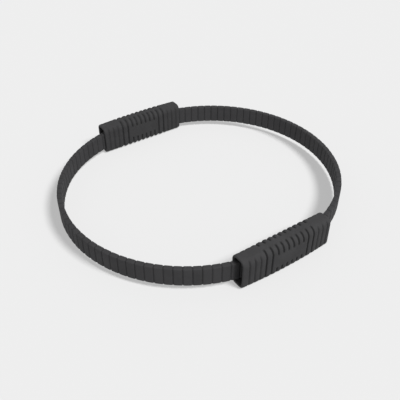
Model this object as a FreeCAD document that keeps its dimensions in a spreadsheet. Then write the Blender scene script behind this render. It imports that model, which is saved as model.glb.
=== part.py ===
import FreeCAD, Part
import os
import re
import Sketcher

# Pilates ring: two spring steel bows in ribbed rubber covers, clamped end to end in two hollow rubber grips.
# Frame: origin on the floor under the ring's centre, +Z up, front grip on +X, right bow on +Y. Millimetres.

# Driving sizes. Every piece is drawn about the ring's mid height and lifted by half the grip's height.
sizes = {
    # Band of the ring
    "bow_radius": 169.5,
    "straight_length": 41.0,
    "band_thickness": 5.5,
    "band_height": 24.3,
    "rib_count": 25,
    "rib_groove_width": 2.0,
    "rib_groove_depth": 0.7,
    "crown_gap": 0.4,
    "clamp_gap": 1.0,
    # Spring leaves
    "leaf_thickness": 1.0,
    "leaf_width": 18.0,
    "leaf_gap": 0.2,
    "leaf_clearance": 0.2,
    "leaf_end_gap": 1.0,
    # Grip sleeves
    "grip_length": 129.4,
    "grip_depth": 22.5,
    "grip_swell": 2.8,
    "grip_height": 42.0,
    "grip_wall": 2.8,
    "grip_corner": 8.0,
    "lip_round": 1.3,
    "mouth_clearance": 0.8,
    "flute_width": 4.4,
    "flute_depth": 0.9,
    "slot_width": 2.4,
    "slot_depth": 1.8,
    "slot_wrap": 2.4,
    "slot_length": 12.0,
    "groove_end_margin": 5.9,
    "flutes_per_end": 3,
    "deep_slots_per_end": 2,
    "short_slots": 6,
    # Clamp blocks inside the grips
    "carrier_clearance": 0.15,
    "lead_round": 1.5,
    "seat_clearance": 0.2,
    # Splice of the leaf ends
    "splice_thickness": 2.0,
    "splice_margin": 2.0,
    "splice_corner": 2.0,
    "rivet_diameter": 4.0,
    "rivet_head_diameter": 7.0,
    "rivet_head_height": 1.0,
    "rivet_head_bevel": 0.5,
    "rivet_clearance": 0.05,
    # Clamp screws and nuts
    "screw_diameter": 2.5,
    "screw_head_diameter": 4.7,
    "screw_end_margin": 5.0,
    "screw_clearance": 0.15,
    "nut_flats": 5.0,
    "nut_thickness": 2.0,
    "nut_clearance": 0.1,
    "thread_clearance": 0.05,
    # Length by which every cut runs past the surface that it opens
    "overrun": 1.0,
}

# Sizes and places that follow from the driving sizes.
derived = {
    "bow_offset": "straight_length / 2",
    "mid_height": "grip_height / 2",
    "band_inner": "bow_radius - band_thickness",
    "band_middle": "bow_radius - band_thickness / 2",
    "rib_angle": "90 / rib_count",
    "leaf_outer_face": "band_middle + leaf_gap / 2 + leaf_thickness",
    "leaf_inner_face": "band_middle - leaf_gap / 2 - leaf_thickness",
    "bore_outer": "leaf_outer_face + leaf_clearance",
    "bore_inner": "leaf_inner_face - leaf_clearance",
    "bore_height": "leaf_width + 2 * leaf_clearance",
    "mouth_reach": "grip_length / 2 - bow_offset",
    "cavity_inner": "sqrt(band_inner ^ 2 - mouth_reach ^ 2) - mouth_clearance",
    "grip_inner": "cavity_inner - grip_wall",
    "grip_outer": "grip_inner + grip_depth",
    "grip_middle": "grip_inner + grip_depth / 2",
    "grip_half_depth": "grip_depth / 2",
    "swell_radius": "(grip_length ^ 2 / 4 + grip_swell ^ 2) / (2 * grip_swell)",
    "swell_centre": "grip_outer + grip_swell - swell_radius",
    "cavity_half_depth": "grip_half_depth - grip_wall",
    "cavity_half_height": "mid_height - grip_wall",
    "cavity_corner": "grip_corner - grip_wall",
    "flute_start": "grip_length / 2 - groove_end_margin",
    "flute_radius": "(flute_width ^ 2 / 4 + flute_depth ^ 2) / (2 * flute_depth)",
    "groove_pitch": "2 * flute_start / (2 * flutes_per_end + 2 * deep_slots_per_end + short_slots - 1)",
    "deep_start": "flute_start - flutes_per_end * groove_pitch",
    "short_start": "deep_start - deep_slots_per_end * groove_pitch",
    "carrier_inner": "cavity_inner + carrier_clearance",
    "carrier_outer": "grip_outer - grip_wall - carrier_clearance",
    "carrier_half_height": "cavity_half_height - carrier_clearance",
    "carrier_corner": "cavity_corner - carrier_clearance",
    "channel_half_height": "leaf_width / 2 + leaf_clearance",
    "splice_face": "leaf_inner_face - splice_thickness",
    "splice_half_length": "bow_offset - splice_margin",
    "splice_half_height": "leaf_width / 2 - splice_margin / 2",
    "rivet_y": "straight_length / 4",
    "rivet_z": "leaf_width / 4",
    "rivet_hole": "rivet_diameter / 2 + rivet_clearance",
    "rivet_seat": "rivet_head_diameter / 2 + seat_clearance",
    "screw_outer_y": "bow_offset - screw_end_margin",
    "screw_inner_y": "screw_end_margin",
    "screw_hole": "screw_diameter / 2 + screw_clearance",
    "screw_head_height": "(screw_head_diameter - screw_diameter) / 2",
}

document = FreeCAD.newDocument("PilatesRing")
sheet = document.addObject("Spreadsheet::Sheet", "Sizes")
for row, (name, size) in enumerate(sizes.items(), start=1):
    sheet.set(f"A{row}", name)
    sheet.set(f"B{row}", str(size))
    sheet.setAlias(f"B{row}", name)
for row, (name, formula) in enumerate(derived.items(), start=1):
    sheet.set(f"D{row}", name)
    sheet.set(f"E{row}", "=" + formula)
    sheet.setAlias(f"E{row}", name)
document.recompute()
names = {*sizes, *derived}

# Rivets and clamp screws on one side of a grip's middle, across and up from it.
rivet_places = [("rivet_y", "rivet_z"), ("rivet_y", "-rivet_z")]
screw_places = [("screw_outer_y", "0"), ("screw_inner_y", "0")]

# Two places closer than this are the same place.
near = 1e-4


def bound(formula):
    """Point the sizes named in a formula at the sheet."""
    return re.sub(r"[a-z_]+", lambda word: "Sizes." + word[0] if word[0] in names else word[0], formula)


def measure(formula):
    """Give a formula's value at the present sizes."""
    return float(sheet.evalExpression(formula))


def bind(item, **formulas):
    """Tie an object's properties to formulas, with a dot written as two underscores."""
    for key, formula in formulas.items():
        item.setExpression(key.replace("__", "."), bound(formula))


def make_body(label, base=("0", "0", "mid_height")):
    """Start a piece drawn about mid height."""
    body = document.addObject("PartDesign::Body", label)
    body.Label = label
    body.AllowCompound = True
    place(body, base)
    return body


def place(body, base, axis=(0, 0, 1), turn=0):
    """Put a piece at its base point, turned about an axis."""
    body.Placement = FreeCAD.Placement(FreeCAD.Vector(), FreeCAD.Rotation(FreeCAD.Vector(*axis), turn))
    bind(body, Placement__Base__x=base[0], Placement__Base__y=base[1], Placement__Base__z=base[2])


def make_twin(label, master, base=("0", "0", "mid_height"), axis=(0, 0, 1), turn=180):
    """Repeat a piece, turned about an axis."""
    twin = document.addObject("PartDesign::Body", label)
    twin.Label = label
    twin.AllowCompound = True
    twin.BaseFeature = master
    place(twin, base, axis, turn)
    return twin


def origin_part(body, role):
    """Find one of a body's own origin planes or axes."""
    return next(part for part in body.Origin.OriginFeatures if part.Role == role)


def make_sketch(body, role, shift=("0", "0", "0")):
    """Attach a sketch to an origin plane, shifted in its own axes (the third is along its normal)."""
    sketch = body.newObject("Sketcher::SketchObject", "Sketch")
    sketch.AttachmentSupport = (origin_part(body, role), [""])
    sketch.MapMode = "FlatFace"
    bind(sketch, AttachmentOffset__Base__x=shift[0], AttachmentOffset__Base__y=shift[1],
         AttachmentOffset__Base__z=shift[2])
    return sketch


def pin_point(sketch, edge, end, x, y):
    """Fix one point of a sketch at two formulas."""
    for kind, formula in (("DistanceX", x), ("DistanceY", y)):
        number = sketch.addConstraint(Sketcher.Constraint(kind, -1, 1, edge, end, measure(formula)))
        sketch.setExpression(f"Constraints[{number}]", bound(formula))


def draw_loop(sketch, corners):
    """Close a loop through corners given as formulas. A corner's third entry centres an arc from it."""
    points = [FreeCAD.Vector(measure(corner[0]), measure(corner[1]), 0) for corner in corners]
    ends = []
    for number, corner in enumerate(corners):
        start, stop = points[number], points[(number + 1) % len(points)]
        if len(corner) == 2:
            edge = sketch.addGeometry(Part.LineSegment(start, stop), False)
            ends.append((edge, 1, 2))
            continue
        centre = FreeCAD.Vector(measure(corner[2][0]), measure(corner[2][1]), 0)
        circle = Part.Circle(centre, FreeCAD.Vector(0, 0, 1), (start - centre).Length)
        forward = (start - centre).cross(stop - centre).z > 0
        first, last = (start, stop) if forward else (stop, start)
        arc = Part.ArcOfCircle(circle, circle.parameter(first), circle.parameter(last))
        edge = sketch.addGeometry(arc, False)
        ends.append((edge, 1, 2) if forward else (edge, 2, 1))
        along_x = abs(stop.x - start.x) > abs(stop.y - start.y)
        kind, formula = ("DistanceY", corner[2][1]) if along_x else ("DistanceX", corner[2][0])
        number = sketch.addConstraint(Sketcher.Constraint(kind, -1, 1, edge, 3, measure(formula)))
        sketch.setExpression(f"Constraints[{number}]", bound(formula))
    for number, (edge, first, last) in enumerate(ends):
        following = ends[(number + 1) % len(ends)]
        sketch.addConstraint(Sketcher.Constraint("Coincident", edge, last, following[0], following[1]))
        pin_point(sketch, edge, first, *corners[number][:2])


def draw_circle(sketch, x, y, radius):
    """Draw a circle whose centre and radius are formulas."""
    centre = FreeCAD.Vector(measure(x), measure(y), 0)
    edge = sketch.addGeometry(Part.Circle(centre, FreeCAD.Vector(0, 0, 1), measure(radius)), False)
    pin_point(sketch, edge, 3, x, y)
    number = sketch.addConstraint(Sketcher.Constraint("Radius", edge, measure(radius)))
    sketch.setExpression(f"Constraints[{number}]", bound(radius))


def draw_rounded(sketch, middle, half_x, half_y, corner):
    """Draw a rectangle with rounded corners about a middle on the horizontal axis."""
    corners = []
    for side_x, side_y in ((1, 1), (-1, 1), (-1, -1), (1, -1)):
        edge_x = f"{middle} + {side_x} * ({half_x})"
        edge_y = f"{side_y} * ({half_y})"
        round_x = f"{middle} + {side_x} * ({half_x} - ({corner}))"
        round_y = f"{side_y} * ({half_y} - ({corner}))"
        arc = [(edge_x, round_y), (round_x, edge_y)]
        if side_x * side_y < 0:
            arc.reverse()
        corners.append((*arc[0], (round_x, round_y)))
        corners.append(arc[1])
    draw_loop(sketch, corners)


def add_pad(body, sketch, length):
    """Pad a sketch evenly to both sides of its plane."""
    pad = body.newObject("PartDesign::Pad", "Pad")
    pad.Profile = sketch
    pad.SideType = "Symmetric"
    bind(pad, Length=length)
    return pad


def add_pocket(body, sketch, length=None, reverse=False, even=False):
    """Cut a sketch to a length along or against its normal, or evenly to both sides, or right through."""
    pocket = body.newObject("PartDesign::Pocket", "Pocket")
    pocket.Profile = sketch
    pocket.Reversed = reverse
    if even or length is None:
        pocket.SideType = "Symmetric"
    if length is None:
        pocket.Type = "ThroughAll"
    else:
        bind(pocket, Length=length)
    return pocket


def add_row(body, role, length, count):
    """Describe a row of copies along one of the body's axes."""
    row = body.newObject("PartDesign::LinearPattern", "Row")
    row.Direction = (origin_part(body, role), [""])
    bind(row, Length=length, Occurrences=count)
    return row


def add_mirror(body, role):
    """Describe a mirror in one of the body's planes."""
    mirror = body.newObject("PartDesign::Mirrored", "Mirror")
    mirror.MirrorPlane = (origin_part(body, role), [""])
    return mirror


def repeat(body, features, transformations):
    """Repeat features by rows and mirrors together, and make the result the body's tip."""
    pattern = body.newObject("PartDesign::MultiTransform", "Repeat")
    pattern.Originals = features
    pattern.Transformations = transformations
    body.Tip = pattern
    return pattern


def add_fillet(body, radius, wanted):
    """Round the edges of the body's tip whose middle and ends pass a test."""
    document.recompute()
    base = body.Tip
    chosen = [f"Edge{number}" for number, edge in enumerate(base.Shape.Edges, start=1) if wanted(edge)]
    fillet = body.newObject("PartDesign::Fillet", "Fillet")
    fillet.Base = (base, chosen)
    bind(fillet, Radius=radius)
    return fillet


def in_plane(axis, levels):
    """Make a test for edges that lie wholly in one of the planes square to an axis."""
    places = [measure(level) for level in levels]

    def wanted(edge):
        low, high = getattr(edge.BoundBox, axis + "Min"), getattr(edge.BoundBox, axis + "Max")
        return any(abs(low - level) < near and abs(high - level) < near for level in places)

    return wanted


def make_grip():
    """Hollow rubber sleeve, swelled on its outer side, with fluted ends, and slots round a plain panel."""
    body = make_body("front_grip")
    plan = make_sketch(body, "XY_Plane")
    draw_loop(plan, [("grip_inner", "-grip_length / 2"),
                     ("grip_outer", "-grip_length / 2", ("swell_centre", "0")),
                     ("grip_outer", "grip_length / 2"), ("grip_inner", "grip_length / 2")])
    add_pad(body, plan, "grip_height")
    at_ends = in_plane("Y", ["grip_length / 2", "-grip_length / 2"])
    is_level = in_plane("Z", ["mid_height", "-mid_height"])
    add_fillet(body, "grip_corner", lambda edge: is_level(edge) and not at_ends(edge))
    hollow = make_sketch(body, "XZ_Plane")
    draw_rounded(hollow, "grip_middle", "cavity_half_depth", "cavity_half_height", "cavity_corner")
    add_pocket(body, hollow)
    add_fillet(body, "lip_round", at_ends)

    # Shallow flutes that run out over the rounded edges
    flutes = make_sketch(body, "XY_Plane")
    for number in range(round(measure("flutes_per_end"))):
        y = f"flute_start - {number} * groove_pitch"
        for side in (1, -1):
            draw_circle(flutes, below_face(side, y, "flute_depth - flute_radius"), y, "flute_radius")
    cuts = [add_pocket(body, flutes)]

    # Deep slots down the whole face, wrapped over the edges
    for number in range(round(measure("deep_slots_per_end"))):
        y = f"deep_start - {number} * groove_pitch"
        deep = make_sketch(body, "XZ_Plane", ("0", "0", y))
        for side in (1, -1):
            draw_slot(deep, y, side, 1, None)
        cuts.append(add_pocket(body, deep, "slot_width", even=True))

    # Short slots from both edges, which leave a plain panel in the middle of each face
    for number in range(round(measure("short_slots / 2"))):
        y = f"short_start - {number} * groove_pitch"
        short = make_sketch(body, "XZ_Plane", ("0", "0", y))
        for side in (1, -1):
            for edge in (1, -1):
                draw_slot(short, y, side, edge, "slot_length")
        cuts.append(add_pocket(body, short, "slot_width", even=True))
    repeat(body, cuts, [add_mirror(body, "XZ_Plane")])
    return body


def below_face(side, y, depth):
    """Give the place at a depth below the grip's swelled outer face or flat inner face."""
    if side > 0:
        return f"swell_centre + sqrt(swell_radius ^ 2 - ({y}) ^ 2) - ({depth})"
    return f"grip_inner + ({depth})"


def draw_slot(sketch, y, side, edge, length):
    """Draw a slot's depth round one rounded edge, then down the face to a length or to the other edge."""
    def across(inset):
        return below_face(side, y, inset)

    def along(drop, level=edge):
        return f"{level} * (mid_height - ({drop}))"

    def round_corner(level):
        centre = (across("grip_corner"), along("grip_corner", level))
        return [(across("grip_corner + slot_wrap"), along("-overrun", level)),
                (across("grip_corner + slot_wrap"), along("slot_depth", level)),
                (across("grip_corner"), along("slot_depth", level), centre),
                (across("slot_depth"), along("grip_corner", level))]

    corners = round_corner(edge)
    if length:
        corners += [(across("slot_depth"), along(length)), (across("-overrun"), along(length)),
                    (across("-overrun"), along("-overrun"))]
    else:
        far = round_corner(-edge)
        far[1], far[2], far[3] = far[1][:2], far[2][:2], (*far[3], far[2][2])
        corners += far[::-1]
        corners += [(across("-overrun"), along("-overrun", -edge)), (across("-overrun"), along("-overrun"))]
    draw_loop(sketch, corners)


def make_sheath_shape():
    """One quarter of the ribbed rubber cover, about its bow's centre from the clamp round to the crown."""
    outer, inner, half = measure("bow_radius"), measure("band_inner"), measure("band_height / 2")
    depth = measure("rib_groove_depth")
    pitch = measure("rib_angle")
    bevel = measure("asin(rib_groove_width / (2 * bow_radius))")
    start = measure("asin(clamp_gap / band_inner)")
    crown = measure("90 deg - asin(crown_gap / (2 * band_inner))")

    def cross(angle, inset):
        turned = FreeCAD.Rotation(FreeCAD.Vector(0, 0, 1), angle)
        corners = [(outer - inset, half - inset), (inner + inset, half - inset),
                   (inner + inset, inset - half), (outer - inset, inset - half)]
        points = [turned.multVec(FreeCAD.Vector(reach, 0, level)) for reach, level in corners]
        return Part.makePolygon(points + points[:1])

    # Each groove is a bevel down to its floor line and a bevel up again, right round the section
    sections = [cross(start, 0)]
    for rib in range(1, round(measure("rib_count"))):
        sections += [cross(rib * pitch - bevel, 0), cross(rib * pitch, depth), cross(rib * pitch + bevel, 0)]
    sections += [cross(crown - bevel, 0), cross(crown, depth)]
    ribbed = Part.makeLoft(sections, True, True)
    height = measure("bore_height")
    floor = FreeCAD.Vector(0, 0, -height / 2)
    bore = Part.makeCylinder(measure("bore_outer"), height, floor).cut(
        Part.makeCylinder(measure("bore_inner"), height, floor))
    return ribbed.cut(bore)


def make_sheath(label, shape, side, axis, turn):
    """Place a quarter of the cover on one of the bows."""
    sheath = document.addObject("Part::Feature", label)
    sheath.Shape = shape
    place(sheath, ("0", f"{side} * bow_offset", "mid_height"), axis, turn)
    return sheath


def make_leaf(label, inner, outer):
    """Spring steel strip bent to a half ring, with straight ends holed for the splice rivets."""
    body = make_body(label)
    plan = make_sketch(body, "XY_Plane")
    centre = ("0", "bow_offset")
    end = "leaf_end_gap / 2"
    draw_loop(plan, [(outer, end), (outer, "bow_offset", centre), ("0", f"bow_offset + {outer}", centre),
                     (f"-({outer})", "bow_offset"), (f"-({outer})", end), (f"-({inner})", end),
                     (f"-({inner})", "bow_offset", centre), ("0", f"bow_offset + {inner}", centre),
                     (inner, "bow_offset"), (inner, end)])
    add_pad(body, plan, "leaf_width")
    holes = make_sketch(body, "YZ_Plane")
    for places, radius in ((rivet_places, "rivet_hole"), (screw_places, "screw_hole")):
        for y, z in places:
            draw_circle(holes, y, z, radius)
    add_pocket(body, holes)
    return body


def draw_both(sketch, places, radius):
    """Draw a circle at places on both sides of the grip's middle."""
    for y, z in places:
        for side in (1, -1):
            draw_circle(sketch, f"{side} * {y}", z, radius)


def make_splice_plate():
    """Steel plate that the leaf ends of both bows are riveted to."""
    body = make_body("front_splice_plate")
    face = make_sketch(body, "YZ_Plane", ("0", "0", "leaf_inner_face - splice_thickness / 2"))
    draw_rounded(face, "0", "splice_half_length", "splice_half_height", "splice_corner")
    draw_both(face, rivet_places, "rivet_hole")
    draw_both(face, screw_places, "screw_hole")
    add_pad(body, face, "splice_thickness")
    return body


def make_rivets():
    """Four rivets through both leaves and the splice plate."""
    body = make_body("front_splice_rivets")
    profile = make_sketch(body, "XZ_Plane", ("0", "-rivet_z", "rivet_y"))
    shank, head = "rivet_diameter / 2", "rivet_head_diameter / 2"
    rim = f"{head} - rivet_head_bevel"
    back, front = "splice_face - rivet_head_height", "leaf_outer_face + rivet_head_height"
    draw_loop(profile, [(back, "0"), (back, rim), (f"{back} + rivet_head_bevel", head), ("splice_face", head),
                        ("splice_face", shank), ("leaf_outer_face", shank), ("leaf_outer_face", head),
                        (f"{front} - rivet_head_bevel", head), (front, rim), (front, "0")])
    turn_and_spread(body, profile, "Z_Axis", "2 * rivet_z")
    return body


def make_screws():
    """Four countersunk screws through both halves of the clamp block, the leaf ends and the splice plate."""
    body = make_body("front_clamp_screws")
    profile = make_sketch(body, "XZ_Plane", ("0", "0", "screw_outer_y"))
    shank, head = "screw_diameter / 2", "screw_head_diameter / 2"
    draw_loop(profile, [("carrier_inner", "0"), ("carrier_inner", shank),
                        ("carrier_outer - screw_head_height", shank), ("carrier_outer", head),
                        ("carrier_outer", "0")])
    turn_and_spread(body, profile, "Y_Axis", "screw_outer_y - screw_inner_y")
    return body


def turn_and_spread(body, profile, role, distance):
    """Turn a profile about its own base line, and repeat it at a distance and beyond the middle."""
    turned = body.newObject("PartDesign::Revolution", "Turned")
    turned.Profile = profile
    turned.ReferenceAxis = (profile, ["H_Axis"])
    repeat(body, [turned], [add_row(body, role, distance, "2"), add_mirror(body, "XZ_Plane")])


def draw_hexagons(sketch, flats):
    """Draw a hexagon with two level flats at every screw."""
    for y, z in screw_places:
        for side in (1, -1):
            angles = [60 * number for number in range(6)]
            draw_loop(sketch, [(f"{side} * {y} + ({flats}) / sqrt(3) * cos({angle})",
                                f"{z} + ({flats}) / sqrt(3) * sin({angle})") for angle in angles])


def make_nuts():
    """Four hexagon nuts sunk in the inner half of the clamp block."""
    body = make_body("front_clamp_nuts")
    face = make_sketch(body, "YZ_Plane", ("0", "0", "carrier_inner + nut_thickness / 2"))
    draw_hexagons(face, "nut_flats")
    draw_both(face, screw_places, "screw_diameter / 2 + thread_clearance")
    add_pad(body, face, "nut_thickness")
    return body


def make_outer_carrier():
    """Outer half of the clamp block: a plate that the leaf ends bear on, with screw seats outside."""
    body = make_body("front_outer_carrier")
    above, below = "carrier_half_height + overrun", "-(carrier_half_height + overrun)"
    shape_block(body, [("leaf_outer_face", above), ("carrier_inner - overrun", above),
                       ("carrier_inner - overrun", below), ("leaf_outer_face", below)])
    lead_in(body, "leaf_outer_face")
    seats = make_sketch(body, "YZ_Plane", ("0", "0", "leaf_outer_face"))
    draw_both(seats, rivet_places, "rivet_seat")
    add_pocket(body, seats, "rivet_head_height + seat_clearance", reverse=True)
    holes = make_sketch(body, "YZ_Plane", ("0", "0", "carrier_outer"))
    draw_both(holes, screw_places, "screw_hole")
    document.recompute()
    sunk = body.newObject("PartDesign::Hole", "ScrewSeats")
    sunk.Profile = holes
    sunk.DepthType = "ThroughAll"
    sunk.HoleCutType = "Countersink"
    sunk.HoleCutCountersinkAngle = 90
    bind(sunk, Diameter="2 * screw_hole", HoleCutDiameter="screw_head_diameter + 2 * screw_clearance")
    return body


def shape_block(body, waste):
    """Pad the whole section that fills the sleeve but for its clearance, and cut away what one half lacks."""
    section = make_sketch(body, "XZ_Plane")
    draw_rounded(section, "grip_middle", "cavity_half_depth - carrier_clearance", "carrier_half_height",
                 "carrier_corner")
    add_pad(body, section, "straight_length")
    removed = make_sketch(body, "XZ_Plane")
    draw_loop(removed, waste)
    add_pocket(body, removed)


def lead_in(body, floor):
    """Round the edges over which the leaves leave the clamp block."""
    at_ends, at_floor = in_plane("Y", ["bow_offset", "-bow_offset"]), in_plane("X", [floor])
    add_fillet(body, "lead_round", lambda edge: at_ends(edge) and at_floor(edge))


def make_inner_carrier():
    """Inner half of the clamp block, with a leaf channel, a bed for the splice plate and nut pockets."""
    body = make_body("front_inner_carrier")
    above, below = "carrier_half_height + overrun", "-(carrier_half_height + overrun)"
    high, low = "channel_half_height", "-channel_half_height"
    shape_block(body, [("leaf_outer_face", above), ("leaf_outer_face", high), ("leaf_inner_face", high),
                       ("leaf_inner_face", low), ("leaf_outer_face", low), ("leaf_outer_face", below),
                       ("carrier_outer + overrun", below), ("carrier_outer + overrun", above)])
    lead_in(body, "leaf_inner_face")
    bed = make_sketch(body, "YZ_Plane", ("0", "0", "leaf_inner_face"))
    draw_rounded(bed, "0", "splice_half_length + seat_clearance", "splice_half_height + seat_clearance",
                 "splice_corner + seat_clearance")
    add_pocket(body, bed, "splice_thickness")
    seats = make_sketch(body, "YZ_Plane", ("0", "0", "splice_face"))
    draw_both(seats, rivet_places, "rivet_seat")
    add_pocket(body, seats, "rivet_head_height + seat_clearance")
    holes = make_sketch(body, "YZ_Plane")
    draw_both(holes, screw_places, "screw_hole")
    add_pocket(body, holes)
    nuts = make_sketch(body, "YZ_Plane", ("0", "0", "carrier_inner"))
    draw_hexagons(nuts, "nut_flats + 2 * nut_clearance")
    add_pocket(body, nuts, "nut_thickness + nut_clearance", reverse=True)
    return body


pieces = []
for master in (make_grip(), make_inner_carrier(), make_outer_carrier(), make_splice_plate(), make_rivets(),
               make_screws(), make_nuts()):
    pieces += [master, make_twin(master.Label.replace("front", "back"), master)]
for label, inner, outer in (("right_inner_leaf", "leaf_inner_face", "leaf_inner_face + leaf_thickness"),
                            ("right_outer_leaf", "leaf_outer_face - leaf_thickness", "leaf_outer_face")):
    master = make_leaf(label, inner, outer)
    pieces += [master, make_twin(label.replace("right", "left"), master)]
quarter = make_sheath_shape()
for label, side, axis, turn in (("right_front_sheath", 1, (0, 0, 1), 0),
                                ("right_back_sheath", 1, (0, 1, 0), 180),
                                ("left_front_sheath", -1, (1, 0, 0), 180),
                                ("left_back_sheath", -1, (0, 0, 1), 180)):
    pieces.append(make_sheath(label, quarter, side, axis, turn))
document.recompute()

# Nothing is written unless every object came out sound
for item in document.Objects:
    if {"Invalid", "Error"} & set(item.State):
        raise RuntimeError(f"{item.Label} failed: {item.State}")
for piece in pieces:
    if piece.Shape.isNull() or not piece.Shape.isValid():
        raise RuntimeError(f"{piece.Label} has no valid shape")
os.makedirs("parts", exist_ok=True)
for piece in pieces:
    box = piece.Shape.BoundBox
    print(f"{piece.Label}: {len(piece.Shape.Solids)} solids, {piece.Shape.Volume:.1f} mm3, "
          f"X {box.XMin:.2f} {box.XMax:.2f}, Y {box.YMin:.2f} {box.YMax:.2f}, "
          f"Z {box.ZMin:.2f} {box.ZMax:.2f}")
    piece.Shape.exportStep(f"parts/{piece.Label}.step")
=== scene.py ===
import math
import random

import bmesh
import bpy
import numpy as np
from mathutils import Matrix, Vector


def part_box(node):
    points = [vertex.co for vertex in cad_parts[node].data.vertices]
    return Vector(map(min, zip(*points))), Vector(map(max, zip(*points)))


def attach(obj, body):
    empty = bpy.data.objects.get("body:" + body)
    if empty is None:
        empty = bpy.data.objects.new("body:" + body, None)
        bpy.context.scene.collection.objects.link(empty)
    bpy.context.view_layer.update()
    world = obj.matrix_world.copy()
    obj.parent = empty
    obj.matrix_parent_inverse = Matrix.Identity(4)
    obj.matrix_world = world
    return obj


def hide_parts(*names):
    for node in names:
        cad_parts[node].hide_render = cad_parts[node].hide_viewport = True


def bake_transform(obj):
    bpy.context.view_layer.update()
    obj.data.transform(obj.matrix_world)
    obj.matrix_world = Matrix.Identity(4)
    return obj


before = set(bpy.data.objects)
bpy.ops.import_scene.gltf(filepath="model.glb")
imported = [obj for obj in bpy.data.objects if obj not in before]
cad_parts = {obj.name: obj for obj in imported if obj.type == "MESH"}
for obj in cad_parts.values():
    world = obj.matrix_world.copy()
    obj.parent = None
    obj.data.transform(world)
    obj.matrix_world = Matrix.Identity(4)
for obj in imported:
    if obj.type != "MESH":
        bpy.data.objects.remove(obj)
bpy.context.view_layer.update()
scene = bpy.context.scene
mm = 0.001
print("frame loaded:", len(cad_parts), "solids")


# Meshes from rings of points

def smooth(t):  # eased step from 0 to 1
    t = np.clip(t, 0.0, 1.0)
    return t * t * (3.0 - 2.0 * t)


def showMesh(name, mesh, material):
    mesh.materials.append(material)
    piece = bpy.data.objects.new(name, mesh)
    scene.collection.objects.link(piece)
    return piece


def addPiece(name, points, faces, material):
    mesh = bpy.data.meshes.new(name)
    mesh.from_pydata([tuple(p) for p in points], [], faces)
    shaped = bmesh.new()
    shaped.from_mesh(mesh)
    bmesh.ops.recalc_face_normals(shaped, faces=shaped.faces)
    shaped.to_mesh(mesh)
    shaped.free()
    mesh.shade_smooth()
    return showMesh(name, mesh, material)


def joinRings(rings):  # faces of a grid of rings that closes both ways
    count, around = rings.shape[:2]
    i, j = np.meshgrid(np.arange(count), np.arange(around), indexing="ij")
    nextI, nextJ = (i + 1) % count, (j + 1) % around
    corners = [i * around + j, nextI * around + j, nextI * around + nextJ, i * around + nextJ]
    return np.stack(corners, -1).reshape(-1, 4).tolist()


def capRings(rings):  # faces of an open run of rings, closed by a flat face at each end
    count, around = rings.shape[:2]
    ends = [list(range(around)), list(range((count - 1) * around, count * around))]
    return joinRings(rings)[:-around] + ends


def setShare(piece, name, values):  # one number per point, for the material to read
    attribute = piece.data.attributes.new(name, "FLOAT", "POINT")
    attribute.data.foreach_set("value", np.asarray(values, np.float32).ravel())


def roundedSection(halfX, halfZ, corner, steps):
    # points, outward normals, and each point's run past the start of its rounded corner
    points, normals, runs = [], [], []
    flatX, flatZ = halfX - corner, halfZ - corner
    countX, countZ, cornerSteps = steps
    quarter = [(flatX * k / countX, halfZ, 0.0, 1.0, flatX * k / countX - flatX) for k in range(countX)]
    for k in range(cornerSteps + 1):
        turn = math.pi / 2 * k / cornerSteps
        quarter.append((flatX + corner * math.sin(turn), flatZ + corner * math.cos(turn),
                        math.sin(turn), math.cos(turn), corner * turn))
    quarter += [(halfX, flatZ - flatZ * k / countZ, 1.0, 0.0, corner * math.pi / 2 + flatZ * k / countZ)
                for k in range(1, countZ + 1)]
    for signX, signZ in ((1, 1), (1, -1), (-1, -1), (-1, 1)):
        run = quarter if signX * signZ > 0 else quarter[::-1]
        for x, z, normalX, normalZ, along in run[:-1]:
            points.append((signX * x, signZ * z))
            normals.append((signX * normalX, signZ * normalZ))
            runs.append(along)
    return np.array(points), np.array(normals), np.array(runs)


def bowRing(angle, side, reach, centreY, level):  # a ring of points square to a bow
    return np.column_stack([reach * math.cos(angle), side * (centreY + reach * math.sin(angle)), level])


# Shader nodes, and the groups that several finishes share

noiseSpan = (0.3, 0.7)  # most of a noise's values lie in this span


def addNode(tree, kind, settings=None, inputs=None):
    node = tree.nodes.new(kind)
    for key, value in (settings or {}).items():
        setattr(node, key, value)
    for key, value in (inputs or {}).items():
        socket = node.inputs[key]
        if isinstance(value, bpy.types.NodeSocket):
            tree.links.new(value, socket)
        else:
            socket.default_value = value
    return node


def addMath(tree, operation, first, second, clamp=False):
    settings = {"operation": operation, "use_clamp": clamp}
    return addNode(tree, "ShaderNodeMath", settings, {0: first, 1: second}).outputs[0]


def addRange(tree, value, given, wanted=(0.0, 1.0)):
    return addNode(tree, "ShaderNodeMapRange", {"interpolation_type": "SMOOTHSTEP"}, {
        "Value": value, "From Min": given[0], "From Max": given[1],
        "To Min": wanted[0], "To Max": wanted[1]}).outputs["Result"]


def addMix(tree, share, first, second):
    inputs = {0: share, 6: first, 7: second}  # the colour sockets of a mix have no names of their own
    return addNode(tree, "ShaderNodeMix", {"data_type": "RGBA"}, inputs).outputs[2]


def startGroup(name, inputs, outputs):
    group = bpy.data.node_groups.new(name, "ShaderNodeTree")
    for label, kind, value in inputs:
        socket = group.interface.new_socket(label, in_out="INPUT", socket_type=kind)
        socket.default_value = value
    for label in outputs:
        group.interface.new_socket(label, in_out="OUTPUT", socket_type="NodeSocketFloat")
    return group, group.nodes.new("NodeGroupInput").outputs, group.nodes.new("NodeGroupOutput").inputs


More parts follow.
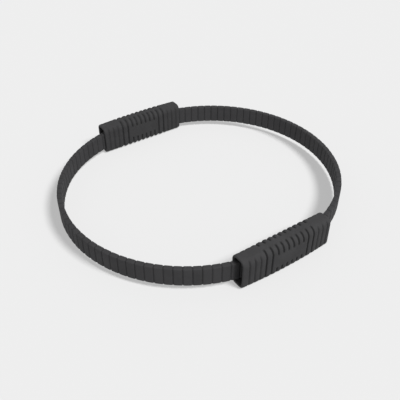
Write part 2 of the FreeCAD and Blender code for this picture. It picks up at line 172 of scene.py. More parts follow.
def mouldedSkin():
    # fine spark texture of a mould, soft mottling, and faint handling smears
    group, given, result = startGroup(
        "mouldedSkin",
        [("Grain Scale", "NodeSocketFloat", 2600.0), ("Mottle Scale", "NodeSocketFloat", 45.0),
         ("Smear Scale", "NodeSocketFloat", 14.0)], ["Grain", "Mottle", "Smear"])
    place = addNode(group, "ShaderNodeTexCoord").outputs["Object"]
    grain = addNode(group, "ShaderNodeTexNoise", inputs={
        "Vector": place, "Scale": given["Grain Scale"], "Detail": 3.0, "Roughness": 0.65}).outputs["Fac"]
    pits = addNode(group, "ShaderNodeTexVoronoi", {"feature": "SMOOTH_F1"}, {
        "Vector": place, "Scale": given["Grain Scale"], "Smoothness": 0.6}).outputs["Distance"]
    mottle = addNode(group, "ShaderNodeTexNoise", inputs={
        "Vector": place, "Scale": given["Mottle Scale"],
        "Detail": 5.0, "Roughness": 0.6, "Distortion": 0.4})
    smear = addNode(group, "ShaderNodeTexNoise", inputs={
        "Vector": place, "Scale": given["Smear Scale"],
        "Detail": 2.0, "Roughness": 0.5, "Distortion": 1.1})
    pitted = addMath(group, "MULTIPLY", grain, addRange(group, pits, (0.05, 0.6), (0.35, 1.0)))
    group.links.new(pitted, result["Grain"])
    group.links.new(mottle.outputs["Fac"], result["Mottle"])
    group.links.new(smear.outputs["Fac"], result["Smear"])
    return group


def edgeWearAndSheen():
    # raised edges that hands and mats have polished, lighter partly from that wear and partly as a
    # painted highlight
    group, given, result = startGroup(
        "edgeWearAndSheen", [("Start", "NodeSocketFloat", 0.51), ("Full", "NodeSocketFloat", 0.58)], ["Mask"])
    shape = addNode(group, "ShaderNodeNewGeometry").outputs["Pointiness"]
    place = addNode(group, "ShaderNodeTexCoord").outputs["Object"]
    broken = addNode(group, "ShaderNodeTexNoise", inputs={
        "Vector": place, "Scale": 260.0, "Detail": 4.0, "Roughness": 0.7}).outputs["Fac"]
    edge = addRange(group, shape, (given["Start"], given["Full"]))
    patches = addRange(group, broken, noiseSpan, (0.45, 1.0))
    group.links.new(addMath(group, "MULTIPLY", edge, patches, clamp=True), result["Mask"])
    return group


def rolledGrain():
    # drawn-out streaks and soft clouds of rolled or plated metal, with the stretch set by each finish
    group, given, result = startGroup(
        "rolledGrain",
        [("Stretch", "NodeSocketVector", (1.0, 1.0, 1.0)), ("Scale", "NodeSocketFloat", 900.0)],
        ["Streak", "Cloud"])
    place = addNode(group, "ShaderNodeTexCoord").outputs["Object"]
    drawn = addNode(group, "ShaderNodeVectorMath", {"operation": "MULTIPLY"},
                    {0: place, 1: given["Stretch"]}).outputs["Vector"]
    streak = addNode(group, "ShaderNodeTexNoise", inputs={
        "Vector": drawn, "Scale": given["Scale"], "Detail": 4.0, "Roughness": 0.7})
    cloud = addNode(group, "ShaderNodeTexNoise", inputs={
        "Vector": place, "Scale": 60.0, "Detail": 3.0, "Distortion": 0.6})
    group.links.new(streak.outputs["Fac"], result["Streak"])
    group.links.new(cloud.outputs["Fac"], result["Cloud"])
    return group


skinGroup, wearSheenGroup, rolledGroup = mouldedSkin(), edgeWearAndSheen(), rolledGrain()


# Finishes

def startFinish(name):
    material = bpy.data.materials.new(name)
    material.use_nodes = True
    tree = material.node_tree
    return material, tree, tree.nodes["Principled BSDF"]


def placeGroup(tree, group, values):
    return addNode(tree, "ShaderNodeGroup", {"node_tree": group}, values).outputs


def grey(level, cool=0.0):  # cool leans the grey towards blue
    return (level, level * (1 - cool / 2), level * (1 + cool), 1.0)


def addBump(tree, strength, height, texture, under=None):
    inputs = {"Strength": strength, "Distance": height * mm, "Height": texture}
    if under:
        inputs["Normal"] = under
    return addNode(tree, "ShaderNodeBump", inputs=inputs).outputs["Normal"]


# deep is the colour of painted shade: in the grooves, on the band's upper side and inside the sleeve
# mouths
gripFinish = {
    "dark": 0.048, "light": 0.055, "deep": 0.012, "rubbedSheen": 0.075, "cool": 0.02,
    "hollow": "grooveShade", "paintedShadeShare": 0.75, "wearSheenShare": 0.45, "wearSheenRange": (0.505, 0.56),
    "roughness": (0.66, 0.78), "smearRange": (0.35, 0.65), "polish": 0.08, "specular": 0.13,
    "grainScale": 2400.0, "grainStrength": 0.8, "grainHeight": 0.06,
    "mottleScale": 70.0, "mottleStrength": 0.25, "mottleHeight": 0.12,
}
bandFinish = {
    **gripFinish, "dark": 0.050, "light": 0.057, "paler": 0.065, "cool": 0.025, "specular": 0.1,
    "hollow": "ribShade", "paintedShadeShare": 0.5, "wearSheenShare": 0.2, "grainScale": 2000.0,
}


def makeRubber(name, look):
    material, tree, shader = startFinish(name)

    def tint(level):
        return grey(look[level], look["cool"])

    skin = placeGroup(tree, skinGroup, {
        "Grain Scale": look["grainScale"], "Mottle Scale": look["mottleScale"]})
    wearSheen = placeGroup(tree, wearSheenGroup, {"Start": look["wearSheenRange"][0], "Full": look["wearSheenRange"][1]})
    colour = addMix(tree, addRange(tree, skin["Mottle"], noiseSpan), tint("dark"), tint("light"))
    # painted shade: the attribute mixes the colour towards the deep shade colour
    hollow = addNode(tree, "ShaderNodeAttribute", {"attribute_name": look["hollow"]}).outputs["Fac"]
    colour = addMix(tree, addMath(tree, "MULTIPLY", hollow, look["paintedShadeShare"]), colour, tint("deep"))
    if "paler" in look:  # lands that differ a little in tone
        tone = addNode(tree, "ShaderNodeAttribute", {"attribute_name": "pieceTone"}).outputs["Fac"]
        colour = addMix(tree, tone, colour, tint("paler"))
    # raised edges lighter: partly wear, partly a painted highlight
    wornSheen = addMath(tree, "MULTIPLY", wearSheen["Mask"], look["wearSheenShare"])
    tree.links.new(addMix(tree, wornSheen, colour, tint("rubbedSheen")), shader.inputs["Base Color"])
    smear = addRange(tree, skin["Smear"], look["smearRange"], look["roughness"])
    polish = addMath(tree, "MULTIPLY", wearSheen["Mask"], look["polish"])
    tree.links.new(addMath(tree, "SUBTRACT", smear, polish), shader.inputs["Roughness"])
    fine = addBump(tree, look["grainStrength"], look["grainHeight"], skin["Grain"])
    soft = addBump(tree, look["mottleStrength"], look["mottleHeight"], skin["Mottle"], fine)
    tree.links.new(soft, shader.inputs["Normal"])
    shader.inputs["Specular IOR Level"].default_value = look["specular"]
    return material


steelGrain = {"roughRange": (0.25, 0.75), "castRange": (0.42, 0.68), "wearSheenShare": 0.6,
              "strength": 0.35, "height": 0.02}
springLook = {
    "dark": (0.20, 0.22, 0.27, 1), "light": (0.33, 0.35, 0.40, 1), "cast": (0.16, 0.19, 0.30, 1),
    "castShare": 0.5, "bright": (0.6, 0.61, 0.64, 1), "roughness": (0.28, 0.42),
    "stretch": (0.4, 0.4, 14.0), "scale": 500.0,
}
plateLook = {
    "dark": (0.50, 0.51, 0.52, 1), "light": (0.66, 0.66, 0.65, 1), "cast": (0.62, 0.58, 0.44, 1),
    "castShare": 0.35, "bright": (0.8, 0.8, 0.79, 1), "roughness": (0.30, 0.46),
    "stretch": (1.0, 1.0, 1.0), "scale": 1600.0,
}
turnedLook = {
    "dark": (0.48, 0.49, 0.50, 1), "light": (0.68, 0.68, 0.68, 1), "cast": (0.50, 0.54, 0.62, 1),
    "castShare": 0.3, "bright": (0.82, 0.82, 0.82, 1), "roughness": (0.22, 0.38),
    "stretch": (9.0, 1.0, 1.0), "scale": 1100.0,
}


def makeSteel(name, look):
    material, tree, shader = startFinish(name)
    rolled = placeGroup(tree, rolledGroup, {"Stretch": look["stretch"], "Scale": look["scale"]})
    wearSheen = placeGroup(tree, wearSheenGroup, {})
    colour = addMix(tree, addRange(tree, rolled["Streak"], noiseSpan), look["dark"], look["light"])
    cast = addRange(tree, rolled["Cloud"], steelGrain["castRange"], (0.0, look["castShare"]))
    colour = addMix(tree, cast, colour, look["cast"])
    wornSheen = addMath(tree, "MULTIPLY", wearSheen["Mask"], steelGrain["wearSheenShare"])
    tree.links.new(addMix(tree, wornSheen, colour, look["bright"]), shader.inputs["Base Color"])
    rough = addRange(tree, rolled["Streak"], steelGrain["roughRange"], look["roughness"])
    tree.links.new(rough, shader.inputs["Roughness"])
    streaked = addBump(tree, steelGrain["strength"], steelGrain["height"], rolled["Streak"])
    tree.links.new(streaked, shader.inputs["Normal"])
    shader.inputs["Metallic"].default_value = 1.0
    return material


nylonLook = {
    "dark": 0.022, "light": 0.032, "fleck": 0.09, "fleckShare": 0.5, "fleckRange": (0.58, 0.72),
    "roughness": (0.42, 0.58), "grainScale": 1800.0, "grainStrength": 0.4, "grainHeight": 0.03,
    "fibreStretch": (6.0, 0.5, 3.0), "fibreScale": 900.0,
}


def makeNylon(name, look):
    material, tree, shader = startFinish(name)
    skin = placeGroup(tree, skinGroup, {"Grain Scale": look["grainScale"]})
    fibre = placeGroup(tree, rolledGroup, {"Stretch": look["fibreStretch"], "Scale": look["fibreScale"]})
    mottle = addRange(tree, skin["Mottle"], noiseSpan)
    colour = addMix(tree, mottle, grey(look["dark"]), grey(look["light"]))
    flecks = addRange(tree, fibre["Streak"], look["fleckRange"])
    flecks = addMath(tree, "MULTIPLY", flecks, look["fleckShare"])
    tree.links.new(addMix(tree, flecks, colour, grey(look["fleck"])), shader.inputs["Base Color"])
    rough = addRange(tree, skin["Smear"], noiseSpan, look["roughness"])
    tree.links.new(rough, shader.inputs["Roughness"])
    grained = addBump(tree, look["grainStrength"], look["grainHeight"], skin["Grain"])
    tree.links.new(grained, shader.inputs["Normal"])
    return material


gripRubber = makeRubber("gripRubber", gripFinish)
bandRubber = makeRubber("bandRubber", bandFinish)
springSteel = makeSteel("springSteel", springLook)
zincPlate = makeSteel("zincPlate", plateLook)
turnedZinc = makeSteel("turnedZinc", turnedLook)
filledNylon = makeNylon("filledNylon", nylonLook)
print("finishes made")


# Grips: hollow sleeves with soft flutes at the ends, deep grooves, and short grooves round a plain panel

grip = {  # in millimetres, with the places of the grooves counted from the middle of the grip
    "corner": 8.0, "wall": 2.8, "rim": 3.4, "rimRun": 7.0, "lipOuter": 1.7, "lipInner": 1.3, "swell": 2.8,
    "slotPlaces": (3.73, 11.2, 18.65), "deepPlaces": (26.5, 35.0), "flutePlaces": (42.7, 50.1, 57.7),
    "flute": {"half": 2.2, "depth": 1.05}, "groove": {"floor": 0.3, "half": 1.6, "depth": 1.85},
    "upperSlot": 11.3, "ramp": 0.7, "startRamp": (0.5, 3.0),
    "pillow": 0.4, "knuckleHalf": 3.8, "crest": 0.35, "crestFade": 4.0,
    "knuckleFade": (0.7, 0.6), "fluteRise": (0.2, 0.55),  # start and run, as shares of the rounded edge
    "sectionSteps": (7, 18, 16), "plainRings": 34, "boreRings": 12, "lipSteps": 6,
    "fluteOffsets": (0.0, 0.35, 0.7, 1.05, 1.4, 1.75, 2.1, 2.5, 3.0),
    "grooveOffsets": (0.0, 0.3, 0.5, 0.7, 0.9, 1.1, 1.3, 1.5, 1.75, 2.4, 3.0),
}
ownGrip = {  # the two grips are turned copies, each slid, worn and given painted groove shade in its own way
    "front": {"slide": 1.2, "outerReach": -0.5, "outerWrap": 1.7, "innerWrap": 1.9, "lowerSlot": 12.0,
              "outerKnuckle": 0.7, "innerKnuckle": 1.3, "slotShade": 0.85, "fluteShade": 0.8},
    "back": {"slide": 0.0, "outerReach": 0.5, "outerWrap": 1.7, "innerWrap": 4.4, "lowerSlot": 13.0,
             "outerKnuckle": 1.2, "innerKnuckle": 1.8, "slotShade": 0.5, "fluteShade": 0.4},
}


def gripStations(cuts, reach):
    # rings are close together only where a groove bends the wall
    stations = {round(s, 3) for s in np.linspace(-reach, reach, grip["plainRings"])}
    for kind, centre in cuts:
        offsets = grip["fluteOffsets"] if kind == "flute" else grip["grooveOffsets"]
        nearby = {round(centre + side * d, 3) for d in offsets for side in (-1, 1)}
        stations = {s for s in stations if abs(s - centre) > offsets[-1]} | nearby
    return np.array(sorted(s for s in stations if abs(s) <= reach))


def gripCuts(own, cuts, stations, section, runs, stretch):
    # masks round the section: over the edge, down the face, and out
    arcEnd, ramp, outside = grip["corner"] * math.pi / 2, grip["ramp"], section[:, 0] > 0
    runIn = np.where(runs < 0, runs * stretch, runs)
    runIn += np.where(outside, own["outerWrap"], own["innerWrap"])
    startMask = smooth((runIn + grip["startRamp"][0]) / sum(grip["startRamp"]))
    fadeFrom, fadeRun = grip["knuckleFade"]
    cornerMask = startMask * (1 - smooth((runs - fadeFrom * arcEnd) / (fadeRun * arcEnd)))
    slotLength = np.where(section[:, 1] > 0, grip["upperSlot"], own["lowerSlot"])
    endMask = 1 - smooth((runs - (arcEnd + slotLength - grip["corner"]) + ramp) / (2 * ramp))
    riseFrom, riseRun = grip["fluteRise"]
    fluteMask = smooth((runs - riseFrom * arcEnd) / (riseRun * arcEnd))

    # depth of the wall and share of painted shade at each point, darkest in the groove floors
    depth, share = np.zeros((2, len(stations), len(section)))
    valleys = np.zeros(len(stations))
    flute, groove = grip["flute"], grip["groove"]
    for kind, centre in cuts:
        away = np.abs(stations - centre)
        if kind == "flute":
            wave = np.where(away < flute["half"], 0.5 + 0.5 * np.cos(np.pi * away / flute["half"]), 0.0)
            depth += flute["depth"] * wave[:, None] * fluteMask[None, :]
            share += own["fluteShade"] * (wave ** 3)[:, None] * fluteMask[None, :]
            continue
        wave = 1 - smooth((away - groove["floor"]) / (groove["half"] - groove["floor"]))
        mask = startMask if kind == "deep" else startMask * endMask
        rounding = smooth(1 - away / grip["knuckleHalf"])
        valleys = np.maximum(valleys, rounding)
        depth += (groove["depth"] * wave + grip["pillow"] * (1 - wave) * rounding ** 2)[:, None] * mask
        share += own["slotShade"] * wave[:, None] * mask

    # lands stand up as knuckles where the grooves run over the edges
    lastKnuckle, fade = grip["deepPlaces"][-1] + grip["knuckleHalf"], grip["crestFade"]
    inSlots = 1 - smooth((np.abs(stations - own["slide"]) - lastKnuckle + fade / 2) / fade)
    knuckle = np.where(outside, own["outerKnuckle"], own["innerKnuckle"]) * cornerMask
    knuckle = (valleys - grip["crest"] * inSlots)[:, None] * knuckle
    return knuckle + np.maximum(depth - np.maximum(knuckle, 0), 0), share


def gripLip(halfY):
    # place along the grip and inset of each ring, from the outer wall round the lip to the bore
    outer, inner, rim = grip["lipOuter"], grip["lipInner"], grip["rim"]
    turns = [math.pi / 2 * k / grip["lipSteps"] for k in range(1, grip["lipSteps"] + 1)]
    lip = [(halfY - outer + outer * math.sin(t), outer * (1 - math.cos(t))) for t in turns]
    lip += [(halfY - inner * (1 - math.cos(t)), rim - inner * (1 - math.sin(t))) for t in [0.0] + turns]
    halfway = (halfY - grip["rimRun"] / 2, (rim + grip["wall"]) / 2)
    return lip + [halfway, (halfY - grip["rimRun"], grip["wall"])]


def gripShell(own):
    low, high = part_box("front_grip")
    halfX, halfY, halfZ = ((high - low) / 2 / mm)[:]
    halfX -= grip["swell"] / 2  # the depth at the ends, where the outer side hasn't swelled yet
    section, normals, runs = roundedSection(halfX, halfZ, grip["corner"], grip["sectionSteps"])
    flatX = halfX - grip["corner"]
    outward = 0.5 + 0.5 * np.clip(section[:, 0] / flatX, -1, 1)
    arcRadius = (halfY ** 2 + grip["swell"] ** 2) / (2 * grip["swell"])

    def swellAt(y):
        return np.sqrt(arcRadius ** 2 - y ** 2) - arcRadius + grip["swell"]

    cuts = [(kind, own["slide"] + sign * place) for kind in ("slot", "deep", "flute")
            for place in grip[kind + "Places"] for sign in (-1, 1)]
    stations = gripStations(cuts, halfY - grip["lipOuter"])
    stretch = 1 + swellAt(stations)[:, None] / (2 * flatX)
    depth, share = gripCuts(own, cuts, stations, section, runs, stretch)

    # one closed run: outer wall, rolled lip, bore, rolled lip
    rings, shares = [], []

    def addRing(y, inset, dip=0.0, dark=0.0, swell=0.0):
        moved = section - normals * (inset + np.broadcast_to(dip, len(section)))[:, None]
        across = moved[:, 0] + swell * outward
        level = np.maximum(moved[:, 1], -halfZ)  # the lands rest flat on the floor
        rings.append(np.column_stack([across, np.full(len(section), y), level]))
        shares.append(np.broadcast_to(dark, len(section)))

    lip = gripLip(halfY)
    for station, dip, dark in zip(stations, depth, share):
        addRing(station, 0.0, dip, dark, swellAt(station) + own["outerReach"])
    for y, inset in lip:
        addRing(y, inset, swell=own["outerReach"])
    for y in np.linspace(1, -1, grip["boreRings"])[1:-1] * (halfY - grip["rimRun"]):
        addRing(y, grip["wall"])
    for y, inset in lip[::-1]:
        addRing(-y, inset, swell=own["outerReach"])
    centre = np.array((low + high) / 2 / mm) - (grip["swell"] / 2, 0, 0)
    return (np.array(rings) + centre) * mm, np.array(shares)


for end, turn in (("front", 1), ("back", -1)):
    rings, shares = gripShell(ownGrip[end])
    points = (rings * (turn, turn, 1)).reshape(-1, 3)
    piece = addPiece(end + "GripSleeve", points, joinRings(rings), gripRubber)
    setShare(piece, "grooveShade", shares)
    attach(piece, end + "_handle")
    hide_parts(end + "_grip")
    print(end, "grip sleeve made:", len(piece.data.polygons), "faces")


# Band covers: one ribbed rubber tube over each bow

band = {  # in millimetres and degrees
    "pitch": 3.645, "ribs": 52, "crownPhase": {"right": 1.35, "left": 0.05}, "bendHalf": 115.0,
    "corner": 0.7, "thickness": 5.5, "fullness": 0.5, "hang": 0.75, "endGap": 1.0,
    "boreThickness": 2.6, "boreHeight": 18.4, "boreRings": 60, "sectionSteps": (1, 7, 4),
    "grooveHalf": 1.35, "grooveDepth": 0.95, "shoulder": 0.2, "pillow": 0.12, "edgeEase": 0.35,
    "seed": 7, "lift": 0.06, "tone": 0.5, "topShade": 0.12, "topFrom": 0.3, "topRun": 0.5,
    "mouthShade": 0.9, "mouthShadeLead": 2.5, "mouthShadeRun": 2.5,
    "offsetShares": (0.0, 0.15, 0.4, 0.65, 0.8, 0.93, 1.06, 1.2, 1.7), "landShares": (0.33, 0.5, 0.67),
    "endTrim": 0.001,  # in radians, so that no groove's ring falls on an end ring
}


def ribAngles(first, pitch, outer, ends):
    # rings follow the shape of each groove, with a few on the land between
    angles = set()
    for rib in range(band["ribs"] + 1):
        centre = first + pitch * rib
        angles |= {centre + sign * share * band["grooveHalf"] / outer
                   for share in band["offsetShares"] for sign in (-1, 1)}
        angles |= {first + pitch * (rib + share) for share in band["landShares"]}
    start, stop = ends[0] + band["endTrim"], ends[1] - band["endTrim"]
    return np.array(sorted({round(a, 6) for a in angles if start < a < stop} | set(ends)))


def bowRings(side, phase):
    low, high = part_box("right_front_sheath")
    outer, centreY, middleZ = high.x / mm, (high.y - high.x) / mm, (low.z + high.z) / 2 / mm
    halfThick, halfHeight = band["thickness"] / 2, (high.z - low.z) / 2 / mm
    middle = outer - halfThick
    pitch, count = math.radians(band["pitch"]), band["ribs"]
    ends = (math.asin(band["endGap"] / middle), math.pi - math.asin(band["endGap"] / middle))
    first = math.pi / 2 + math.radians(phase) - pitch * count / 2
    angles = ribAngles(first, pitch, outer, ends)
    section, normals = roundedSection(halfThick, halfHeight, band["corner"], band["sectionSteps"])[:2]
    cover = section - (0, band["hang"])  # the cover hangs a little on its leaves
    chance = random.Random(band["seed"] + side)
    lifts = np.array([chance.uniform(-1, 1) for rib in range(count)])
    tones = np.array([chance.uniform(0, 1) for rib in range(count)])

    # each groove is a V with eased shoulders, each land a low pillow
    along = (angles - first) / pitch
    land = np.clip(along.astype(int), 0, count - 1)
    inLand = 2 * (along - land) - 1
    away = np.abs(along - np.round(along)) * pitch * outer / band["grooveHalf"]
    ease = band["shoulder"]
    groove = np.where(away < 1 - ease, 1 - away, np.clip(1 + ease - away, 0, None) ** 2 / (4 * ease))
    inset = band["grooveDepth"] * groove + band["pillow"] * inLand ** 4
    inset += band["lift"] * lifts[land] * (1 - groove)
    eased = 1 - band["edgeEase"] * np.abs(normals[:, 1:])  # grooves run shallower over the thin edges
    topFace = smooth((normals[:, 1] - band["topFrom"]) / band["topRun"])  # painted shade: the upper side is darkened
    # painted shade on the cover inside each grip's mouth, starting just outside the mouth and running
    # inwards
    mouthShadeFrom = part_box("front_grip")[1].y / mm + band["mouthShadeLead"]
    rings, shares, landTones = [], [], []

    def addRing(angle, points, dark, tone):
        inside = (mouthShadeFrom - centreY - middle * math.sin(angle)) / band["mouthShadeRun"] + 0.5
        dark = max(dark, band["mouthShade"] * smooth(inside))  # painted shade where the grip's sleeve shades the cover
        rings.append(bowRing(angle, side, middle + points[:, 0], centreY, middleZ + points[:, 1]))
        shares.append(np.clip(dark + band["topShade"] * topFace, 0, 1))
        landTones.append(tone * (1 - topFace))

    # painted shade in each groove, darker the deeper it runs
    for angle, dip, dark, tone in zip(angles, inset, groove, tones[land]):
        addRing(angle, cover + normals * (band["fullness"] - dip * eased), dark ** 2, tone * band["tone"])
    bore = section / (halfThick, halfHeight) * (band["boreThickness"] / 2, band["boreHeight"] / 2)
    # the hidden bore is painted in full shade
    for angle in np.linspace(ends[1], ends[0], band["boreRings"]):
        addRing(angle, bore, 1.0, 0.0)
    return np.array(rings) * mm, np.array(shares), np.array(landTones)


for name, side in (("right", 1), ("left", -1)):
    rings, shares, tones = bowRings(side, band["crownPhase"][name])
    piece = addPiece(name + "BandCover", rings.reshape(-1, 3), joinRings(rings), bandRubber)
    setShare(piece, "ribShade", shares)
    setShare(piece, "pieceTone", tones)
    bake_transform(piece)
    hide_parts(name + "_back_sheath", name + "_front_sheath")
print("band covers made")


# Spring leaves: the curved run follows its bow, the straight ends stay in the clamp blocks

leaf = {  # in millimetres, with each hole as its place along and across the strip and its radius
    "thickness": 1.0, "edge": 0.25, "runGap": 0.3, "endGap": 0.5, "endCut": 1.0,
    "sectionSteps": (1, 7, 3), "runs": 90, "holeSteps": 28,
    "holes": ((10.25, 4.5, 2.05), (10.25, -4.5, 2.05), (15.5, 0.0, 1.4), (5.0, 0.0, 1.4)),
}


def leafRun(name, side):
    low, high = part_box("right_" + name)
    thickness, halfHeight = leaf["thickness"], (high.z - low.z) / 2 / mm
    middleZ, centreY = (low.z + high.z) / 2 / mm, (high.y - high.x) / mm
    middle = high.x / mm - thickness / 2
    section = roundedSection(thickness / 2, halfHeight, leaf["edge"], leaf["sectionSteps"])[0]
    gap = leaf["runGap"] / middle  # room to bend at the clamp's edge
    rings = np.array([bowRing(angle, side, middle + section[:, 0], centreY, middleZ + section[:, 1])
                      for angle in np.linspace(gap, math.pi - gap, leaf["runs"])]) * mm
    return rings, (middle, centreY, middleZ, halfHeight)


def leafEnd(name, place, end, side, sizes):
    middle, centreY, middleZ, halfHeight = sizes
    thickness, gap, cut = leaf["thickness"], leaf["endGap"], leaf["endCut"]
    flat = bmesh.new()

    def addLoop(points):
        verts = [flat.verts.new((0, y, z)) for y, z in points]
        return [flat.edges.new((verts[k], verts[(k + 1) % len(verts)])) for k in range(len(verts))]

    # the outline and its holes are filled, raised by the thickness, and set in place
    edges = addLoop([(gap, -halfHeight + cut), (gap + cut, -halfHeight), (centreY, -halfHeight),
                     (centreY, halfHeight), (gap + cut, halfHeight), (gap, halfHeight - cut)])
    turns = [2 * math.pi * k / leaf["holeSteps"] for k in range(leaf["holeSteps"])]
    for y, z, radius in leaf["holes"]:
        edges += addLoop([(y + radius * math.cos(t), z + radius * math.sin(t)) for t in turns])
    bmesh.ops.triangle_fill(flat, edges=edges, use_beauty=True, use_dissolve=False)
    raised = bmesh.ops.extrude_face_region(flat, geom=flat.faces[:])
    moved = [v for v in raised["geom"] if isinstance(v, bmesh.types.BMVert)]
    bmesh.ops.translate(flat, verts=moved, vec=(thickness, 0, 0))
    for vert in flat.verts:
        x = middle - thickness / 2 + vert.co.x
        vert.co = Vector((end * x, side * vert.co.y, middleZ + vert.co.z)) * mm
    bmesh.ops.recalc_face_normals(flat, faces=flat.faces)
    mesh = bpy.data.meshes.new(name)
    flat.to_mesh(mesh)
    flat.free()
    piece = showMesh(name, mesh, springSteel)
    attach(piece, place + "_handle")


for name, side in (("right", 1), ("left", -1)):
    for layer in ("inner", "outer"):
        rings, sizes = leafRun(layer + "_leaf", side)
        leafName = f"{name}{layer.capitalize()}Leaf"
        piece = addPiece(leafName + "Run", rings.reshape(-1, 3), capRings(rings), springSteel)
        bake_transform(piece)
        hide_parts(f"{name}_{layer}_leaf")
        for place, end in (("front", 1), ("back", -1)):
            leafEnd(f"{leafName}{place.capitalize()}End", place, end, side, sizes)
print("spring leaves made")


# Clamp hardware: blocks and splice plates keep their solids, the small fasteners are modelled

hardware = {"inner_carrier": (filledNylon, "carrier_plastic"),
            "outer_carrier": (filledNylon, "carrier_plastic"),
            "splice_plate": (zincPlate, "plated_steel")}
sharpAngle = 32.0  # edges of fasteners that turn by more than this stay crisp


def turnRings(around, runs):
    # rings about the X axis, each run an x and a radius, plain or one for each step
    turns = 2 * math.pi * np.arange(around) / around
    rings = [np.column_stack([np.broadcast_to(x, around), radius * np.cos(turns), radius * np.sin(turns)])
             for x, radius in runs]
    return np.array(rings)


screw = {
    "places": (-15.5, -5.0, 5.0, 15.5), "shank": 1.25, "head": 2.35, "headHeight": 1.1, "rimBevel": 0.1,
    "threadRun": 7.0, "threadPitch": 0.45, "threadDepth": 0.2, "stepsPerTurn": 8, "tipBevel": 0.4,
    "recessHalf": 0.34, "recessReach": 1.45, "recessDepth": 0.8, "recessEase": 0.12, "recessSlope": 0.45,
    "around": 48, "faceRings": 22, "eye": 0.04,
}


def screwRings(tipX, faceX):
    turns = 2 * math.pi * np.arange(screw["around"]) / screw["around"]
    shank, head, bevel, pitch = screw["shank"], screw["head"], screw["rimBevel"], screw["threadPitch"]
    threadEnd = tipX + screw["threadRun"]
    runs = [(tipX, shank - screw["tipBevel"])]
    steps = int(screw["threadRun"] / pitch * screw["stepsPerTurn"])
    for x in np.linspace(tipX + screw["tipBevel"], threadEnd, steps):
        winding = (x / pitch - turns / (2 * math.pi)) % 1
        runOut = smooth((threadEnd - x) / (2 * pitch))  # the thread fades over its last two turns
        runs.append((x, shank - screw["threadDepth"] * np.abs(2 * winding - 1) * runOut))
    runs += [(faceX - screw["headHeight"], shank), (faceX - bevel, head - bevel), (faceX, head)]
    # a cross recess sunk in the flat face
    for radius in np.linspace(head, screw["eye"], screw["faceRings"])[1:]:
        nearest = np.minimum(np.abs(np.cos(turns)), np.abs(np.sin(turns))) * radius
        cross = smooth((screw["recessHalf"] - nearest) / screw["recessEase"] + 0.5)
        cross = cross * smooth((screw["recessReach"] - radius) / (2 * screw["recessEase"]) + 0.5)
        slope = 1 - screw["recessSlope"] * radius / screw["recessReach"]
        runs.append((faceX - screw["recessDepth"] * cross * slope, radius))
    return turnRings(screw["around"], runs)


nut = {"flats": 5.0, "hole": 1.3, "holeBevel": 0.25, "cornerFall": 0.58, "edgeFall": 0.05,
       "faceInset": 0.08, "around": 72}


def nutRings(lowX, highX):
    turns = 2 * math.pi * np.arange(nut["around"]) / nut["around"]
    half, hole, bevel = nut["flats"] / 2, nut["hole"], nut["holeBevel"]
    corner = half / np.cos((turns - math.pi / 3) % (math.pi / 3) - math.pi / 6)
    fall = (corner - half) * nut["cornerFall"] + nut["edgeFall"]  # the bevel cuts the corners deepest
    face = half - nut["faceInset"]
    return turnRings(nut["around"], [
        (lowX, hole + bevel), (lowX + bevel, hole), (highX - bevel, hole), (highX, hole + bevel),
        (highX, face), (highX - fall, corner), (lowX + fall, corner), (lowX, face)])


rivet = {"places": ((-10.25, -4.5), (-10.25, 4.5), (10.25, -4.5), (10.25, 4.5)), "shank": 2.0,
         "head": 3.5, "headHeight": 1.0, "rim": 0.25, "domeRings": 10, "around": 40, "eye": 0.05}


def rivetRings(lowX, highX):
    height, head, rim, shank = rivet["headHeight"], rivet["head"], rivet["rim"], rivet["shank"]
    sweep = [math.pi / 2 * k / rivet["domeRings"] for k in range(rivet["domeRings"] + 1)]
    dome = [(rim + (height - rim) * math.cos(t), max(head * math.sin(t), rivet["eye"])) for t in sweep]
    runs = [(lowX + height - up, radius) for up, radius in dome]
    runs += [(lowX + height, head), (lowX + height, shank)]
    runs += [(highX - height, shank), (highX - height, head)]
    runs += [(highX - height + up, radius) for up, radius in dome[::-1]]
    return turnRings(rivet["around"], runs)


def spanX(kind):
    low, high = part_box("front_" + kind)
    return low.x / mm, high.x / mm


def addFasteners(place, turn, kind, rings, faces, places, finish):
    middleZ = sum(v.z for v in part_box("front_" + kind)) / 2 / mm
    one = rings.reshape(-1, 3)
    points, joined = [], []
    for y, z in places:
        joined += [[k + len(points) * len(one) for k in face] for face in faces]
        points.append((one + (0, y, middleZ + z)) * (turn, turn, 1) * mm)
    name = place + "".join(word.capitalize() for word in kind.split("_"))
    piece = addPiece(name, np.concatenate(points), joined, finish)
    piece.data.set_sharp_from_angle(angle=math.radians(sharpAngle))
    return piece


alongBlock = [(y, 0.0) for y in screw["places"]]
screwRun, nutRun = screwRings(*spanX("clamp_screws")), nutRings(*spanX("clamp_nuts"))
rivetRun = rivetRings(*spanX("splice_rivets"))
fasteners = {
    "clamp_screws": (screwRun, capRings(screwRun), alongBlock, turnedZinc, "fastener_steel"),
    "clamp_nuts": (nutRun, joinRings(nutRun), alongBlock, turnedZinc, "fastener_steel"),
    "splice_rivets": (rivetRun, capRings(rivetRun), rivet["places"], zincPlate, "plated_steel"),
}
for place, turn in (("front", 1), ("back", -1)):
    for name, (finish, slotName) in hardware.items():
        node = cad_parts[f"{place}_{name}"]
        node.data.materials.clear()
        node.data.materials.append(finish)
    for kind, (rings, faces, places, finish, slotName) in fasteners.items():
        piece = addFasteners(place, turn, kind, rings, faces, places, finish)
        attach(piece, place + "_handle")
        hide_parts(f"{place}_{kind}")
print("clamp hardware finished")


# Camera, floor and light

camera = {"azimuth": 55.69, "elevation": 38.65, "focalPixels": 538.9, "imagePixels": 400, "sensor": 36.0,
          "originSeen": (1.24, -12.53, 740.5), "clip": (0.01, 50.0)}


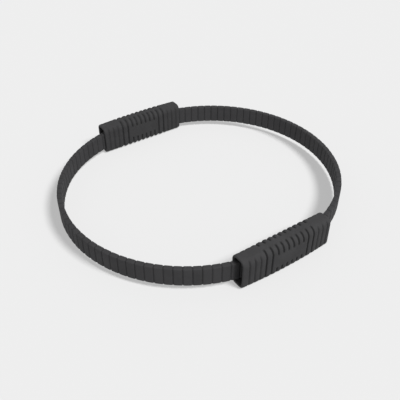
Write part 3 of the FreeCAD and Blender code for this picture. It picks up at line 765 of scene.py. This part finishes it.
def addCamera():
    azimuth, elevation = math.radians(camera["azimuth"]), math.radians(camera["elevation"])
    right = Vector((math.cos(azimuth), math.sin(azimuth), 0))
    ahead = Vector((-math.sin(azimuth) * math.cos(elevation), math.cos(azimuth) * math.cos(elevation),
                    -math.sin(elevation)))
    down = ahead.cross(right)
    across, below, away = camera["originSeen"]  # where the camera sees the origin, in millimetres
    data = bpy.data.cameras.new("camera")
    data.sensor_width = camera["sensor"]
    data.lens = camera["focalPixels"] * camera["sensor"] / camera["imagePixels"]
    data.clip_start, data.clip_end = camera["clip"]
    seen = bpy.data.objects.new("camera", data)
    seen.matrix_world = Matrix((right, -down, -ahead)).transposed().to_4x4()
    seen.location = -(right * across + down * below + ahead * away) * mm
    scene.collection.objects.link(seen)
    scene.camera = seen


studio = {
    "floorSize": 12.0, "floorGlow": 0.423, "floorBounce": 0.53, "floorColour": 0.12,
    "sky": 0.56, "backdrop": 0.86, "keyAngle": 17.0, "keyDistance": 2.2,
    "object": {"azimuth": 9.0, "elevation": 54.0, "level": 0.41},
    "floor": {"azimuth": 23.0, "elevation": 52.0, "level": 3.06},
}


def seenRays(tree):
    # rays that show the background itself, straight on, mirrored or through a clear piece
    rays = addNode(tree, "ShaderNodeLightPath").outputs
    mirrored = addMath(tree, "ADD", rays["Is Camera Ray"], rays["Is Glossy Ray"])
    return addMath(tree, "ADD", mirrored, rays["Is Transmission Ray"], clamp=True)


def addFloor():
    half = studio["floorSize"] / 2
    corners = [(-half, -half, 0), (half, -half, 0), (half, half, 0), (-half, half, 0)]
    mesh = bpy.data.meshes.new("floor")
    mesh.from_pydata(corners, [], [(0, 1, 2, 3)])
    material, tree, shader = startFinish("paleFloor")
    tree.nodes.remove(shader)

    def shine(strength):
        lit = addNode(tree, "ShaderNodeEmission", inputs={"Color": grey(1.0), "Strength": strength})
        return lit.outputs[0]

    # it looks pale and keeps its shadow, and gives the object an even bounce of its own
    matt = addNode(tree, "ShaderNodeBsdfDiffuse", inputs={"Color": grey(studio["floorColour"])})
    shown = addNode(tree, "ShaderNodeAddShader", inputs={
        0: shine(studio["floorGlow"]), 1: matt.outputs[0]})
    surface = addNode(tree, "ShaderNodeMixShader", inputs={
        0: seenRays(tree), 1: shine(studio["floorBounce"]), 2: shown.outputs[0]})
    tree.links.new(surface.outputs[0], tree.nodes["Material Output"].inputs["Surface"])
    floor = showMesh("floor", mesh, material)
    return floor


def addKey(name, lit, floor, onFloor):
    azimuth, elevation = math.radians(lit["azimuth"]), math.radians(lit["elevation"])
    strength, angle = lit["level"] * math.pi / math.sin(elevation), math.radians(studio["keyAngle"])
    if onFloor:  # from far off, so the floor stays even
        data = bpy.data.lights.new(name, "SUN")
        data.energy, data.angle = strength, angle
    else:
        data = bpy.data.lights.new(name, "AREA")
        data.shape, data.size = "DISK", 2 * studio["keyDistance"] * math.tan(angle / 2)
        data.energy = strength * math.pi * studio["keyDistance"] ** 2
    lamp = bpy.data.objects.new(name, data)
    toLight = Vector((math.cos(elevation) * math.cos(azimuth), math.cos(elevation) * math.sin(azimuth),
                      math.sin(elevation)))
    lamp.rotation_mode = "QUATERNION"
    lamp.rotation_quaternion = toLight.to_track_quat("Z", "Y")
    lamp.location = toLight * studio["keyDistance"]
    scene.collection.objects.link(lamp)
    receivers = bpy.data.collections.new(name + "Receivers")
    receivers.objects.link(floor)
    lamp.light_linking.receiver_collection = receivers
    receivers.collection_objects[0].light_linking.link_state = "INCLUDE" if onFloor else "EXCLUDE"


def addWorld():
    world = bpy.data.worlds.new("studio")
    world.use_nodes = True
    tree = world.node_tree
    sky = tree.nodes["Background"]
    sky.inputs["Color"].default_value = grey(1.0)
    level = addNode(tree, "ShaderNodeMapRange", inputs={
        "Value": seenRays(tree), "To Min": studio["sky"], "To Max": studio["backdrop"]})
    tree.links.new(level.outputs["Result"], sky.inputs["Strength"])
    scene.world = world


addCamera()
floor = addFloor()
addKey("keyOnObject", studio["object"], floor, False)
addKey("keyOnFloor", studio["floor"], floor, True)
addWorld()
scene.view_settings.view_transform = "Standard"
print("camera, floor and light set")
